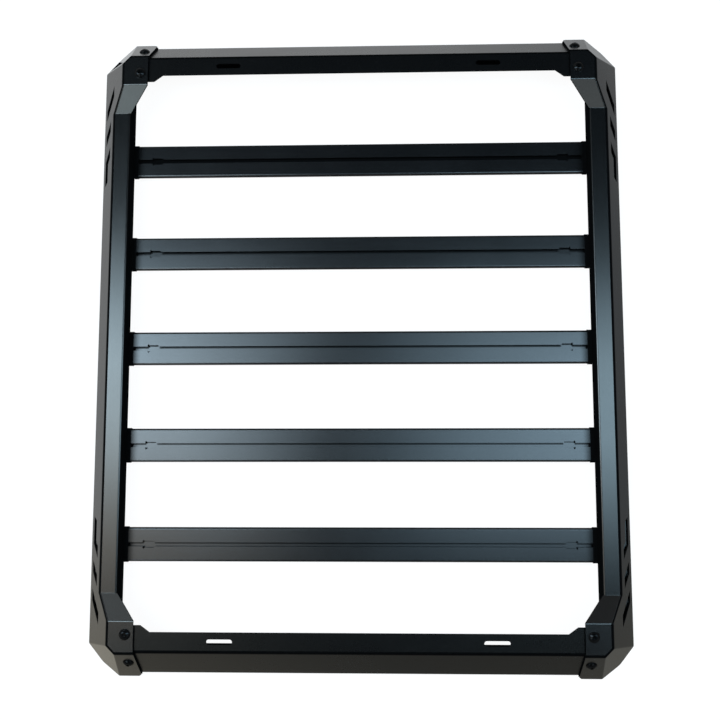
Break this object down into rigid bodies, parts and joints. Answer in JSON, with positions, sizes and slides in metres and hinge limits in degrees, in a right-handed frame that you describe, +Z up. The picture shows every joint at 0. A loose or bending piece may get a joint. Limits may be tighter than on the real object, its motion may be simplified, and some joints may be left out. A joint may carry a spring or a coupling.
{
  "type": "roof rack platform",
  "caption": "Open platform roof rack: formed sheet side rails with raised, cut corners, end bars with slots, and flat T-slot slats across.",
  "frame": {"origin": "on the floor under the middle of the rack, level with the slats' undersides", "axes": "+Z up, +Y along the rack to the rear end bar, +X to the right across the rack"},
  "size_m": [1.084, 1.316, 0.1025],
  "materials": {
    "frame_coat": "satin black powder coat",
    "slat_coat": "satin black powder coat on extruded aluminium",
    "cap_plastic": "matte black moulded plastic",
    "pad_rubber": "plain black rubber",
    "black_fastener": "black oxide"
  },
  "bodies": {
    "root": {"side_rail_left": "frame_coat", "side_rail_right": "frame_coat", "front_end_bar": "frame_coat", "rear_end_bar": "frame_coat", "slat_1": "slat_coat", "slat_2": "slat_coat", "slat_3": "slat_coat", "slat_4": "slat_coat", "slat_5": "slat_coat", "slat_1_cap_left": "cap_plastic", "slat_1_cap_right": "cap_plastic", "slat_2_cap_left": "cap_plastic", "slat_2_cap_right": "cap_plastic", "slat_3_cap_left": "cap_plastic", "slat_3_cap_right": "cap_plastic", "slat_4_cap_left": "cap_plastic", "slat_4_cap_right": "cap_plastic", "slat_5_cap_left": "cap_plastic", "slat_5_cap_right": "cap_plastic", "slat_1_screws": "black_fastener", "slat_2_screws": "black_fastener", "slat_3_screws": "black_fastener", "slat_4_screws": "black_fastener", "slat_5_screws": "black_fastener", "top_bolt_front_left": "black_fastener", "top_bolt_front_right": "black_fastener", "top_bolt_rear_left": "black_fastener", "top_bolt_rear_right": "black_fastener", "end_bolt_front_left": "black_fastener", "end_bolt_front_right": "black_fastener", "end_bolt_rear_left": "black_fastener", "end_bolt_rear_right": "black_fastener", "nuts_front_left": "black_fastener", "nuts_front_right": "black_fastener", "nuts_rear_left": "black_fastener", "nuts_rear_right": "black_fastener", "corner_pad_front_left": "pad_rubber", "corner_pad_front_right": "pad_rubber", "corner_pad_rear_left": "pad_rubber", "corner_pad_rear_right": "pad_rubber"}
  },
  "joints": []
}
